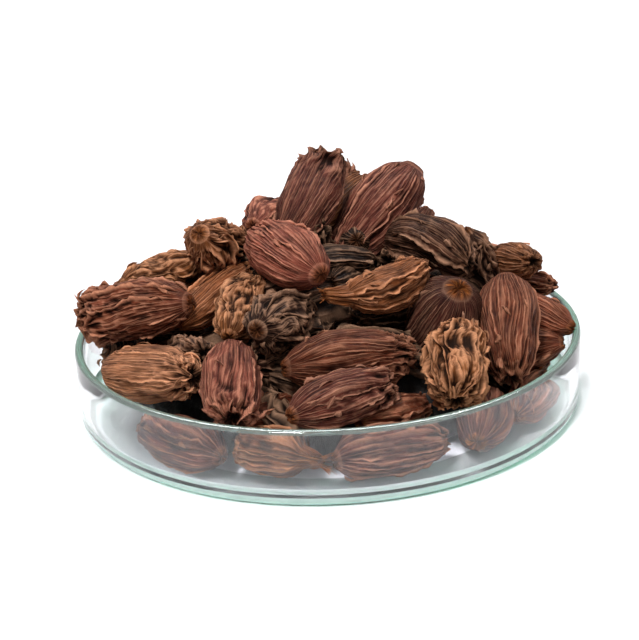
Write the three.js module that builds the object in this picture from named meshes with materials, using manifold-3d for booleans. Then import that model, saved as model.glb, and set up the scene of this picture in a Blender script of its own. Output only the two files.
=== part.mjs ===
// A shallow round glass dish heaped with dried black cardamom pods.
//
// Millimetres, +Z up. The origin is the centre of the dish's underside, +Y points away from the viewer and +X
// to the viewer's right. The dish is one lathed glass solid. The heap is one solid too: a plain core with every
// pod that shows fused onto it. The pods that show from the front are placed one by one, and those round the
// back are laid by a seeded rule.
import * as THREE from "three";
import { mergeVertices } from "three/addons/utils/BufferGeometryUtils.js";
import Module from "manifold-3d";

// ---------------------------------------------------------------- driving dimensions

const DISH = {
  radius: 75, // outside
  height: 22,
  wall: 2.5,
  floor: 2.6, // thickness of the bottom
  outerCorner: 3, // radius where the wall meets the underside
  innerCorner: 2.2, // radius where the wall meets the floor
  segments: 64, // round the axis
  cornerSteps: 3,
  lipSteps: 6,
};
const FIT_GAP = 0.4; // between the heap and the glass
const FLOOR_Z = DISH.floor + FIT_GAP;
const INSIDE_RADIUS = DISH.radius - DISH.wall - FIT_GAP;

// The core's outline, from the heap's axis out and down to the floor: [radius, height].
const CORE_OUTLINE = [
  [0, 42],
  [14, 40],
  [27, 35],
  [38, 29],
  [48, 22],
  [56, 15],
  [59, 9],
  [59, FLOOR_Z],
];
const CORE_SEGMENTS = 24;

// The heap's outer slope: a cone with this height on the axis and this fall for each millimetre outwards.
const MOUND = { height: 72, fall: 0.58 };

const POD = {
  flatness: 0.9, // thickness over width
  lobes: 0.05, // a cardamom capsule has three rounded lobes
};
// How finely a pod is cut: the sides round it, and the stations along it from the stem end to the tip.
const FINE = { sides: 10, rings: [0.04, 0.18, 0.4, 0.63, 0.84, 0.96] };
const PLAIN = { sides: 8, rings: [0.06, 0.26, 0.52, 0.78, 0.95] };
// How far the long ribs stand out and how rough the husk is, each as a share of the pod's half width.
const KINDS = {
  ribbed: { rib: 0.035, rough: 0.02 },
  winged: { rib: 0.08, rough: 0.035 },
  crumpled: { rib: 0.06, rough: 0.1 },
  puckered: { rib: 0.04, rough: 0.02 },
};

// ---------------------------------------------------------------- the pods placed one by one

// Each pod: kind, stem end, tip, width, and how far its middle rises above the line between its ends (bend).
const PLACED_PODS = [
  // the crown
  { kind: "ribbed", stem: [-11, -3, 48], tip: [2, 20, 71.3], width: 18, bend: 0 },
  { kind: "winged", stem: [29, 23, 63], tip: [3, 4, 36], width: 20.5, bend: 1 },
  { kind: "winged", stem: [-1, -27, 47], tip: [-20, -2, 52], width: 18.5, bend: 0 },
  { kind: "crumpled", stem: [-20.5, -1, 54], tip: [-11, 24, 51.5], width: 12.5, bend: 0 },
  { kind: "ribbed", stem: [-2, 12, 49], tip: [13, 34, 58], width: 13, bend: 0 },
  { kind: "ribbed", stem: [21, 13, 37], tip: [34, 37, 45], width: 12, bend: 0 },
  // the upper slope
  { kind: "ribbed", stem: [-1, -29, 42], tip: [30, -16, 45], width: 14.5, bend: -4, beak: 7 },
  { kind: "crumpled", stem: [-36, -5, 54], tip: [-25, 14, 36], width: 16.5, bend: 0 },
  { kind: "crumpled", stem: [-60.5, -1, 37], tip: [-31.5, 14, 37.5], width: 14, bend: 1 },
  { kind: "winged", stem: [-38, -20, 38], tip: [-72.5, -9, 31], width: 18.5, bend: 0 },
  { kind: "ribbed", stem: [-42, -19, 31], tip: [-22, 1, 41], width: 13, bend: 0 },
  { kind: "crumpled", stem: [-27.5, -34, 32.5], tip: [-20, -9, 40.5], width: 13.5, bend: 0 },
  { kind: "crumpled", stem: [-19.5, -41, 37], tip: [-6, -18, 33.5], width: 15.5, bend: 0 },
  { kind: "winged", stem: [19, 7, 46.5], tip: [43, -12, 41.5], width: 16.5, bend: 4 },
  { kind: "crumpled", stem: [42, 5, 48], tip: [50, 11, 23], width: 12.5, bend: 0 },
  { kind: "ribbed", stem: [53, 20, 33], tip: [62, -4, 40], width: 12.5, bend: 0 },
  { kind: "winged", stem: [46, 21, 27], tip: [70.5, 6, 28.5], width: 9.5, bend: 0 },
  // the lower slope, at the rim
  { kind: "ribbed", stem: [-63, -26, 21.5], tip: [-35.5, -44, 25], width: 17.5, bend: 0 },
  { kind: "winged", stem: [-27, -35, 31], tip: [-25.5, -62.5, 19], width: 16, bend: 0 },
  { kind: "ribbed", stem: [-12.5, -46, 27.5], tip: [24, -36, 25.5], width: 17, bend: 1.5 },
  { kind: "winged", stem: [-11, -65, 22], tip: [17, -48, 23], width: 14.5, bend: 1 },
  { kind: "puckered", stem: [37, -28, 42], tip: [28, -13, 16], width: 22, bend: 0 },
  { kind: "ribbed", stem: [52, -12, 39], tip: [50, -39, 17], width: 18, bend: 1 },
  { kind: "ribbed", stem: [71, -15, 23], tip: [46, 1, 29], width: 13.5, bend: 0 },
  { kind: "ribbed", stem: [68, -18, 20], tip: [41, -13, 15], width: 13, bend: 0 },
  { kind: "crumpled", stem: [37, -31, 33], tip: [33, -55, 18.5], width: 17, bend: 0 },
  { kind: "crumpled", stem: [-63, 6, 20], tip: [-56, -23, 15], width: 13, bend: 0 },
  { kind: "crumpled", stem: [-46, -18, 19], tip: [-33, -37, 29.5], width: 12, bend: 0 },
  { kind: "crumpled", stem: [-23, -38, 25], tip: [-9, -13, 17], width: 15, bend: 0 },
  // under and behind the crown, and in the hollow on the left
  { kind: "ribbed", stem: [-22, -14, 37], tip: [5, -10, 38], width: 13.5, bend: 0 },
  { kind: "ribbed", stem: [-9, 13, 42], tip: [0, 41, 40], width: 15, bend: 0 },
  { kind: "winged", stem: [24, 4, 34], tip: [36, 28, 34], width: 14, bend: 0 },
  { kind: "crumpled", stem: [-56, -3, 28], tip: [-33, 3, 26], width: 13, bend: 0 },
  // on the dish's floor, behind the glass
  { kind: "ribbed", stem: [-29, -59.5, 9], tip: [-52.5, -39.5, 10], width: 13.5, bend: 0 },
  { kind: "winged", stem: [-3, -68, 10.5], tip: [-26, -55, 10], width: 14, bend: 0, beak: 5 },
  { kind: "winged", stem: [0, -67, 10], tip: [31, -57, 10], width: 14.5, bend: 0 },
  { kind: "puckered", stem: [37.5, -58, 9], tip: [45.5, -31, 10.5], width: 14.5, bend: 0 },
  { kind: "ribbed", stem: [50, -42, 9], tip: [63.5, -16.5, 8.5], width: 12.5, bend: 0 },
  { kind: "winged", stem: [-23, -53, 16], tip: [-7, -31, 10], width: 12, bend: 0 },
  { kind: "winged", stem: [7, -57, 16], tip: [27, -37, 11], width: 12, bend: 0 },
];

// ---------------------------------------------------------------- small helpers

// A linear congruential generator. Its products stay exact in a double.
function randomSource(seed) {
  let state = seed;
  return () => {
    state = (state * 1664525 + 1013904223) % 4294967296;
    return state / 4294967296;
  };
}

const between = (random, low, high) => low + (high - low) * random();

// Half width of a pod at station t, from 0 at the stem end to 1 at the tip, as a share of its widest.
function podProfile(t) {
  return Math.pow(Math.sin(Math.PI * Math.pow(t, 0.92)), 0.52);
}

// The pod's axis, its upward side and its other side, as unit vectors.
function podFrame(pod) {
  const stem = new THREE.Vector3(...pod.stem);
  const tip = new THREE.Vector3(...pod.tip);
  const axis = tip.clone().sub(stem);
  const length = axis.length();
  axis.divideScalar(length);
  const steep = Math.abs(axis.z) > 0.9;
  const up = steep ? new THREE.Vector3(0, -1, 0) : new THREE.Vector3(0, 0, 1);
  up.addScaledVector(axis, -up.dot(axis)).normalize();
  const side = new THREE.Vector3().crossVectors(up, axis);
  return { stem, axis, up, side, length };
}

// ---------------------------------------------------------------- laying the pods that the rule places

// Spheres along a pod stand in for it while pods are laid: share of the half length, share of the half width.
const BEADS = [
  [-0.78, 0.62],
  [-0.4, 0.91],
  [0, 1],
  [0.4, 0.91],
  [0.78, 0.62],
];
const RULE = {
  seed: 11,
  length: [28, 36],
  width: [12.5, 17.5],
  draws: 2500, // places tried for each pod
  most: 38,
  smaller: 0.86, // where no pod fits any more, the next ones are this much smaller
  smallest: 0.6,
  press: 2.8, // how far a pod presses into the ones it lands on
  sink: 3, // and into the core
  proud: { behind: 4.5, before: -18 }, // how far a pod may stand above the mound, behind and before frontEdge
  frontEdge: 16, // y where the part that the viewer sees ends
  skyline: { tilt: 0.368, height: 66, fall: 0.45 }, // no pod shows above it from the front, tilt radians up
  wobble: 0.35, // radians by which a pod's pitch may differ from the slope under it
  kinds: ["ribbed", "winged", "crumpled", "ribbed", "winged", "crumpled", "ribbed", "puckered"],
};

function beadsOf(pod) {
  const { stem, axis, up, length } = podFrame(pod);
  return BEADS.map(([along, share]) => ({
    at: stem
      .clone()
      .addScaledVector(axis, (length * (1 + along)) / 2)
      .addScaledVector(up, pod.bend * (1 - along * along)),
    radius: (pod.width / 2) * share,
  }));
}

// Height of the core's surface at a distance from the axis, and 0 outside it.
function coreHeight(radius) {
  for (let i = 1; i < CORE_OUTLINE.length; i++) {
    const [r0, z0] = CORE_OUTLINE[i - 1];
    const [r1, z1] = CORE_OUTLINE[i];
    if (radius <= r1 && r1 > r0) return z0 + ((z1 - z0) * (radius - r0)) / (r1 - r0);
  }
  return 0;
}

// True if a bead is clear of the glass wall and of its lip.
function clearOfGlass(bead) {
  const radial = Math.hypot(bead.at.x, bead.at.y);
  const lipRadius = DISH.radius - DISH.wall / 2;
  const lipGap = Math.hypot(radial - lipRadius, bead.at.z - DISH.height + DISH.wall / 2);
  const overLip = bead.at.z > DISH.height;
  return lipGap > bead.radius + DISH.wall / 2 + FIT_GAP && (overLip || radial + bead.radius < INSIDE_RADIUS);
}

// A random pod with its middle at height 0.
function drawPod(random, size) {
  const radial = 70 * Math.sqrt(random());
  const bearing = between(random, 0, 2 * Math.PI);
  const heading = between(random, 0, 2 * Math.PI);
  const length = size * between(random, ...RULE.length);
  const width = size * between(random, ...RULE.width);
  const lean = between(random, -RULE.wobble, RULE.wobble);
  const kind = RULE.kinds[Math.floor(random() * RULE.kinds.length)];
  const pitch = lean - Math.atan(MOUND.fall) * Math.cos(heading - bearing) * Math.min(1, radial / 20);
  const x = radial * Math.cos(bearing);
  const y = radial * Math.sin(bearing);
  const dx = (length / 2) * Math.cos(pitch) * Math.cos(heading);
  const dy = (length / 2) * Math.cos(pitch) * Math.sin(heading);
  const dz = (length / 2) * Math.sin(pitch);
  return { kind, width, bend: 0, stem: [x - dx, y - dy, -dz], tip: [x + dx, y + dy, dz] };
}

// How high a pod comes to rest when it is dropped on the floor, the core and the beads already laid.
function restingHeight(beads, laid) {
  let height = -Infinity;
  for (const { at, radius } of beads) {
    const ground = Math.max(FLOOR_Z, coreHeight(Math.hypot(at.x, at.y)) - RULE.sink);
    height = Math.max(height, ground + radius - at.z);
    for (const other of laid) {
      const reach = radius + other.radius - RULE.press;
      const across = Math.hypot(at.x - other.at.x, at.y - other.at.y);
      if (across >= reach) continue;
      height = Math.max(height, other.at.z + Math.sqrt(reach * reach - across * across) - at.z);
    }
  }
  return height;
}

function underMound(bead) {
  const surface = MOUND.height - MOUND.fall * Math.hypot(bead.at.x, bead.at.y);
  const proud = bead.at.y > RULE.frontEdge ? RULE.proud.behind : RULE.proud.before;
  return bead.at.z + bead.radius < surface + proud;
}

function underSkyline(bead) {
  const { tilt, height, fall } = RULE.skyline;
  const seenAt = bead.at.z * Math.cos(tilt) + bead.at.y * Math.sin(tilt);
  return seenAt + bead.radius < height - fall * Math.abs(bead.at.x);
}

// Drops pods one by one on what is laid already, each at the lowest of the places drawn for it.
function layByRule(laidPods) {
  const random = randomSource(RULE.seed);
  const laid = laidPods.flatMap(beadsOf);
  const pods = [];
  let size = 1;
  while (pods.length < RULE.most && size > RULE.smallest) {
    let best = null;
    for (let i = 0; i < RULE.draws; i++) {
      const pod = drawPod(random, size);
      const beads = beadsOf(pod);
      const height = restingHeight(beads, laid);
      if (best && height >= best.height) continue;
      for (const bead of beads) bead.at.z += height;
      const fits = (bead) => clearOfGlass(bead) && underMound(bead) && underSkyline(bead);
      if (beads.every(fits)) best = { pod, beads, height };
    }
    if (!best) {
      size *= RULE.smaller;
      continue;
    }
    best.pod.stem[2] += best.height;
    best.pod.tip[2] += best.height;
    pods.push(best.pod);
    laid.push(...best.beads);
  }
  return pods;
}

// ---------------------------------------------------------------- solids

const wasm = await Module();
wasm.setup();

function toManifold(geometry) {
  const bare = new THREE.BufferGeometry().setAttribute("position", geometry.getAttribute("position"));
  if (geometry.index) bare.setIndex(geometry.index);
  const merged = mergeVertices(bare, 1e-3);
  return new wasm.Manifold(
    new wasm.Mesh({
      numProp: 3,
      vertProperties: new Float32Array(merged.attributes.position.array),
      triVerts: new Uint32Array(merged.index.array),
    }),
  );
}

function toGeometry(solid) {
  const mesh = solid.getMesh();
  const geometry = new THREE.BufferGeometry();
  geometry.setAttribute("position", new THREE.BufferAttribute(mesh.vertProperties, 3));
  geometry.setIndex(new THREE.BufferAttribute(mesh.triVerts, 1));
  geometry.computeVertexNormals();
  return geometry;
}

// LatheGeometry turns its profile round Y, so it is tipped up to stand on Z.
function lathe(profile, segments) {
  const points = profile.map(([radius, z]) => new THREE.Vector2(radius, z));
  return new THREE.LatheGeometry(points, segments).rotateX(Math.PI / 2);
}

function arc(centre, radius, from, to, steps) {
  return Array.from({ length: steps + 1 }, (_, i) => {
    const angle = from + ((to - from) * i) / steps;
    return [centre[0] + radius * Math.cos(angle), centre[1] + radius * Math.sin(angle)];
  });
}

function dishGeometry() {
  const { radius, height, wall, floor, outerCorner, innerCorner, cornerSteps, lipSteps } = DISH;
  const inside = radius - wall;
  const quarter = Math.PI / 2;
  return lathe(
    [
      [0, 0],
      ...arc([radius - outerCorner, outerCorner], outerCorner, -quarter, 0, cornerSteps),
      ...arc([radius - wall / 2, height - wall / 2], wall / 2, 0, 2 * quarter, lipSteps),
      ...arc([inside - innerCorner, floor + innerCorner], innerCorner, 0, -quarter, cornerSteps),
      [0, floor],
    ],
    DISH.segments,
  );
}

// A pod as rings of points round its bent axis, closed by a point at each end.
function podGeometry(pod, { sides, rings }, random) {
  const { stem, axis, up, side, length } = podFrame(pod);
  const { rib, rough } = KINDS[pod.kind];
  const turn = between(random, 0, 2 * Math.PI);
  const beak = (pod.beak ?? 0) / length;
  const place = (t, across, above) =>
    stem
      .clone()
      .addScaledVector(axis, length * t)
      .addScaledVector(up, pod.bend * 4 * t * (1 - t) + above)
      .addScaledVector(side, across);

  const points = [place(0, 0, 0)];
  for (const t of rings) {
    const narrow = t < beak ? 0.3 : podProfile(Math.max(0.05, (t - beak) / (1 - beak)));
    for (let i = 0; i < sides; i++) {
      const angle = (2 * Math.PI * i) / sides;
      const ribbing = rib * (i % 2 ? -1 : 1) + POD.lobes * Math.cos(3 * (angle + turn));
      const radius = (pod.width / 2) * narrow * (1 + ribbing + rough * between(random, -1, 1));
      points.push(place(t, radius * Math.cos(angle), radius * Math.sin(angle) * POD.flatness));
    }
  }
  points.push(place(1, 0, 0));

  const index = [];
  const last = points.length - 1;
  const ringPoint = (ring, i) => 1 + ring * sides + (i % sides);
  for (let i = 0; i < sides; i++) {
    index.push(0, ringPoint(0, i + 1), ringPoint(0, i));
    for (let ring = 0; ring < rings.length - 1; ring++) {
      const [a, b] = [ringPoint(ring, i), ringPoint(ring, i + 1)];
      const [c, d] = [ringPoint(ring + 1, i), ringPoint(ring + 1, i + 1)];
      index.push(a, b, c, b, d, c);
    }
    index.push(last, ringPoint(rings.length - 1, i), ringPoint(rings.length - 1, i + 1));
  }
  const geometry = new THREE.BufferGeometry();
  geometry.setAttribute(
    "position",
    new THREE.Float32BufferAttribute(points.flatMap((p) => p.toArray()), 3),
  );
  geometry.setIndex(index);
  return geometry;
}

// The core and all the pods, joined into one solid. Hollows sealed in between them are filled.
function heapGeometry() {
  const random = randomSource(7);
  const pods = [
    ...PLACED_PODS.map((pod) => podGeometry(pod, FINE, random)),
    ...layByRule(PLACED_PODS).map((pod) => podGeometry(pod, PLAIN, random)),
  ];
  let heap = toManifold(lathe([[0, FLOOR_Z], ...CORE_OUTLINE.toReversed()], CORE_SEGMENTS));
  for (const pod of pods) heap = heap.add(toManifold(pod));
  const shells = heap.decompose().sort((a, b) => b.volume() - a.volume());
  return toGeometry(shells[0]);
}

// ---------------------------------------------------------------- the part

const glass = new THREE.MeshStandardMaterial({
  color: 0xcfe9df,
  roughness: 0.04,
  metalness: 0,
  transparent: true,
  opacity: 0.35,
});
const husk = new THREE.MeshStandardMaterial({ color: 0x5a3828, roughness: 0.75, metalness: 0 });

function named(name, geometry, material) {
  const mesh = new THREE.Mesh(geometry, material);
  mesh.name = name;
  return mesh;
}

const part = new THREE.Group();
part.add(named("dish", dishGeometry(), glass), named("cardamom_heap", heapGeometry(), husk));

export default part;
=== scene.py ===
"""A shallow round clear glass dish heaped with dried black cardamom pods.

Lengths are in millimetres until a mesh is made. +Y points away from the camera and +X to its right.
"""
import math

import bpy
import numpy as np
from mathutils import Matrix, Vector


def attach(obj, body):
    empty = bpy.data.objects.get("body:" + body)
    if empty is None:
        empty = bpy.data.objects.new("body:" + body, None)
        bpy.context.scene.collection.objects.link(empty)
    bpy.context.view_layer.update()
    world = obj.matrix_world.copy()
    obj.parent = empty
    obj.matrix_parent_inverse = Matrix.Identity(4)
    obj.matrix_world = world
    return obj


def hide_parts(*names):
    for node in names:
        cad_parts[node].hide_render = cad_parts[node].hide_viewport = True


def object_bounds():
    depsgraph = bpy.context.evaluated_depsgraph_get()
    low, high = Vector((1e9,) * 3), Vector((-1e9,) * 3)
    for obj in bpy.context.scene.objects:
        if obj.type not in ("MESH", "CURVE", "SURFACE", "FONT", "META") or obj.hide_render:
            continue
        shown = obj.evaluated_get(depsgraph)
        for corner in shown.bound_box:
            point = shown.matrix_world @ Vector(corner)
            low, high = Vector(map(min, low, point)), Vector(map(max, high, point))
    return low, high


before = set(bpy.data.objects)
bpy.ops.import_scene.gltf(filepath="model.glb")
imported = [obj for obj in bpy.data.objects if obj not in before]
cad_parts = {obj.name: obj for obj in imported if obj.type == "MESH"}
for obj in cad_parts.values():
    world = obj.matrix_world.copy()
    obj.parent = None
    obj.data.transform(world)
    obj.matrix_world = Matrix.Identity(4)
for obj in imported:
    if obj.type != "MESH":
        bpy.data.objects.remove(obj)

CAD_BOX = [[float(c) for c in corner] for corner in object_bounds()]
MM = 0.001

# ---- sizes shared with the solids

DISH = dict(radius=75.0, height=22.0, wall=2.5, floor=2.6, outer_corner=3.0, inner_corner=2.2)
FIT_GAP = 0.4
FLOOR_Z = DISH["floor"] + FIT_GAP
INSIDE_RADIUS = DISH["radius"] - DISH["wall"] - FIT_GAP
CORE_OUTLINE = [(0, 42), (14, 40), (27, 35), (38, 29), (48, 22), (56, 15), (59, 9)]
MOUND = dict(height=72.0, fall=0.58)


def pod_at(kind, tone, stem, tip, width, **more):
    """One pod, from its stem's end to its tip.

    more may have bend: how far its middle rises above the line between its ends; beak: its stalk's length;
    bristles and reach: how many fibres its stem end has, and how long; crush: how crumpled its tip end is;
    blunt: how broad that end is; tuft and flakes: how many torn bits it has at the tip and all over; shade: a
    factor on its tone; look: what it changes of its kind; seed: which random form it takes.
    """
    return dict(kind=kind, tone=tone, stem=stem, tip=tip, width=width, **more)


CROWN = [
    pod_at("ribbed", "purple", (-11, -3, 47.5), (3, 21, 69.2), 17.6, crush=2.0, blunt=0.2, tuft=26, seed=3),
    pod_at("winged", "purple", (29, 23, 63), (3, 4, 36), 20.5, bend=1, crush=1.4, tuft=16, seed=5,
           shade=1.25, look=dict(wings=6)),
    pod_at("winged", "rose", (-1, -27, 47), (-20, -2, 52), 18.5, seed=8, crush=0.8, shade=1.25,
           look=dict(wings=7, wing=(0.5, 1.0))),
    pod_at("crumpled", "rose", (-20.5, -1, 54), (-11, 24, 51.5), 12.5, flakes=8,
           look=dict(crumple=0.8, wings=4, wing=(0.5, 1.0))),
    pod_at("ribbed", "tan", (-2, 12, 49), (13, 34, 58), 13),
    pod_at("ribbed", "red", (21, 13, 37), (34, 37, 45), 12),
]
UPPER_SLOPE = [
    pod_at("winged", "tan", (-1, -29, 42), (30, -16, 45), 14.5, bend=-4, beak=7, bristles=14, reach=2.5,
           seed=4, flakes=24, shade=1.25, look=dict(wing=(0.8, 1.6), wings=9)),
    pod_at("crumpled", "tan", (-36, -5, 54), (-25, 14, 36), 16.5, seed=2),
    pod_at("crumpled", "olive", (-60.5, -1, 37), (-31.5, 14, 37.5), 14, bend=1,
           look=dict(crumple=1.5, wings=4, wing=(0.5, 1.0))),
    pod_at("winged", "red", (-38, -20, 38), (-72.5, -9, 31), 18.5, crush=2.4, blunt=0.5, tuft=16, flakes=26,
           look=dict(crumple=0.9, wings=8, wing=(1.0, 2.0))),
    pod_at("ribbed", "amber", (-42, -19, 31), (-22, 1, 41), 13, look=dict(ribs=0.8)),
    pod_at("crumpled", "olive", (-27.5, -34, 32.5), (-20, -9, 40.5), 13.5,
           look=dict(crumple=1.7, wings=5, wing=(0.6, 1.4))),
    pod_at("crumpled", "dark", (-19.5, -41, 37), (-6, -18, 33.5), 15.5, flakes=40, seed=3, shade=0.6),
    pod_at("winged", "dark", (19, 7, 46.5), (43, -12, 41.5), 16.5, bend=4,
           look=dict(wings=7, wing=(1.2, 2.4)), seed=2, shade=1.3),
    pod_at("crumpled", "dark", (42, 5, 48), (50, 11, 23), 12.5),
    pod_at("ribbed", "tan", (53, 20, 33), (62, -4, 40), 12.5),
    pod_at("winged", "red", (46, 21, 27), (70.5, 6, 28.5), 9.5),
]
LOWER_SLOPE = [
    pod_at("ribbed", "sand", (-63, -26, 21.5), (-35.5, -44, 25), 17.5, crush=1.3, tuft=12, shade=1.35,
           look=dict(ribs=0.25, wings=3)),
    pod_at("winged", "rose", (-27, -35, 31), (-25.5, -62.5, 19), 16, crush=1.2, blunt=0.4, tuft=14,
           look=dict(wings=5, wing=(0.5, 1.0))),
    pod_at("ribbed", "red", (-12.5, -46, 27.5), (24, -36, 25.5), 17, bend=1.5, crush=1.5, tuft=12,
           shade=0.85, look=dict(wings=7, wing=(0.6, 1.3))),
    pod_at("winged", "purple", (-11, -65, 22), (17, -48, 23), 14.5, bend=1, crush=1.3, tuft=14, flakes=18),
    pod_at("puckered", "plum", (37, -28, 42), (28, -13, 16), 22),
    pod_at("ribbed", "russet", (52, -12, 39), (50, -39, 17), 18, bend=1, shade=0.87),
    pod_at("ribbed", "red", (71, -15, 23), (46, 1, 29), 13.5, shade=1.22),
    pod_at("ribbed", "red", (68, -18, 20), (41, -13, 15), 13),
    pod_at("crumpled", "olive", (37, -31, 33), (33, -55, 18.5), 17, flakes=40, seed=6),
    pod_at("crumpled", "dark", (-63, 6, 20), (-56, -23, 15), 13),
    pod_at("crumpled", "dark", (-46, -18, 19), (-33, -37, 29.5), 12),
    pod_at("crumpled", "dark", (-23, -38, 25), (-9, -13, 17), 15),
]
HOLLOWS = [
    pod_at("ribbed", "dark", (-22, -14, 37), (5, -10, 38), 13.5),
    pod_at("ribbed", "red", (-9, 13, 42), (0, 41, 40), 15),
    pod_at("winged", "purple", (24, 4, 34), (36, 28, 34), 14),
    pod_at("crumpled", "dark", (-56, -3, 28), (-33, 3, 26), 13),
]
BEHIND_GLASS = [
    pod_at("ribbed", "purple", (-29, -59.5, 9), (-52.5, -39.5, 10), 13.5),
    pod_at("winged", "tan", (-3, -68, 10.5), (-26, -55, 10), 14, beak=5, bristles=26, reach=5),
    pod_at("winged", "purple", (0, -67, 10), (31, -57, 10), 14.5),
    pod_at("puckered", "purple", (37.5, -58, 9), (45.5, -31, 10.5), 14.5),
    pod_at("ribbed", "red", (50, -42, 9), (63.5, -16.5, 8.5), 12.5),
    pod_at("winged", "red", (-23, -53, 16), (-7, -31, 10), 12),
    pod_at("winged", "red", (7, -57, 16), (27, -37, 11), 12),
]
PLACED = CROWN + UPPER_SLOPE + LOWER_SLOPE + HOLLOWS + BEHIND_GLASS

# Low pods that lie against the sides of the core, beside the row that shows through the glass.
SIDES = [
    pod_at("ribbed", "red", (60.5, -14, 10), (61, 21.5, 10), 13.5, seed=1),
    pod_at("winged", "purple", (50, -5, 17), (57, 21, 18.5), 12, seed=2),
    pod_at("winged", "purple", (-62, -9, 9.3), (-59.5, 20, 9.3), 12.5, seed=3),
    pod_at("crumpled", "dark", (-53, -9, 17.5), (-48, 18, 16.5), 14, seed=4),
]

# The spheres that stand in for a pod while others are laid: place from end to end, and share of its radius.
BEADS = np.array([(-0.78, 0.62), (-0.4, 0.91), (0, 1), (0.4, 0.91), (0.78, 0.62)])
# How the rule lays its pods. within: how far out they are drawn; level_within: where they start to lie down
# the slope; smaller and smallest: how they shrink where no place is left; press and sink: how far they sink
# into each other and into the core; behind and before: how far they may stand over the mound's cone behind
# front_edge and before it; wobble: how far they tilt; skyline: what none rises over in the camera's view.
RULE = dict(
    seed=11, within=70, level_within=20, length=(28, 36), width=(12.5, 17.5),
    draws=2500, most=38, smaller=0.86, smallest=0.6,
    press=2.8, sink=3.0, behind=4.5, before=-18.0, front_edge=16.0, wobble=0.35,
    skyline=dict(tilt=0.368, height=66.0, fall=0.45),
    kinds=("ribbed", "winged", "crumpled", "ribbed", "winged", "crumpled", "ribbed", "puckered"),
)
BACK_TONES = ("red", "purple", "tan", "red", "purple", "dark")

# The pods under the outer ones, painted nearly black as shade: how many, how far out, their size, how deep
# they lie under the mound's cone at the back and in front, and how low their middle may be.
UNDER = dict(count=30, within=50, length=30, width=14, behind=20, before=31, lowest=11)
GOLDEN_ANGLE = 2.39996

# The scene's own core, lower than the solids' core: radius and height.
SHOWN_CORE = [(0, 34), (14, 31), (27, 25), (38, 19), (48, 12), (54, 8), (54, FLOOR_Z + 0.1)]

# ---- laying the pods that the rule places


def pod_axes(stem, tip):
    """(across, up, axis) unit vectors of pods whose ends are the rows of stem and tip."""
    axis = tip - stem
    axis = axis / np.linalg.norm(axis, axis=-1, keepdims=True)
    steep = np.abs(axis[..., 2:3]) > 0.9
    up = np.where(steep, (0.0, -1.0, 0.0), (0.0, 0.0, 1.0))
    up = up - axis * np.sum(up * axis, axis=-1, keepdims=True)
    up = up / np.linalg.norm(up, axis=-1, keepdims=True)
    return np.cross(up, axis), up, axis


def beads_of(stem, tip, width, bend):
    """Centres and radii of the spheres that stand in for pods while they are laid."""
    _, up, axis = pod_axes(stem, tip)
    length = np.linalg.norm(tip - stem, axis=-1)[:, None, None]
    along, share = BEADS[None, :, 0:1], BEADS[None, :, 1]
    at = stem[:, None] + axis[:, None] * length * (1 + along) / 2
    at = at + up[:, None] * bend[:, None, None] * (1 - along ** 2)
    return at, width[:, None] / 2 * share


class RandomSource:
    """The same linear congruential generator as the solids use."""

    def __init__(self, seed):
        self.state = seed

    def draw(self, count):
        values = np.empty(count)
        for i in range(count):
            self.state = (self.state * 1664525 + 1013904223) % 4294967296
            values[i] = self.state / 4294967296
        return values


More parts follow.
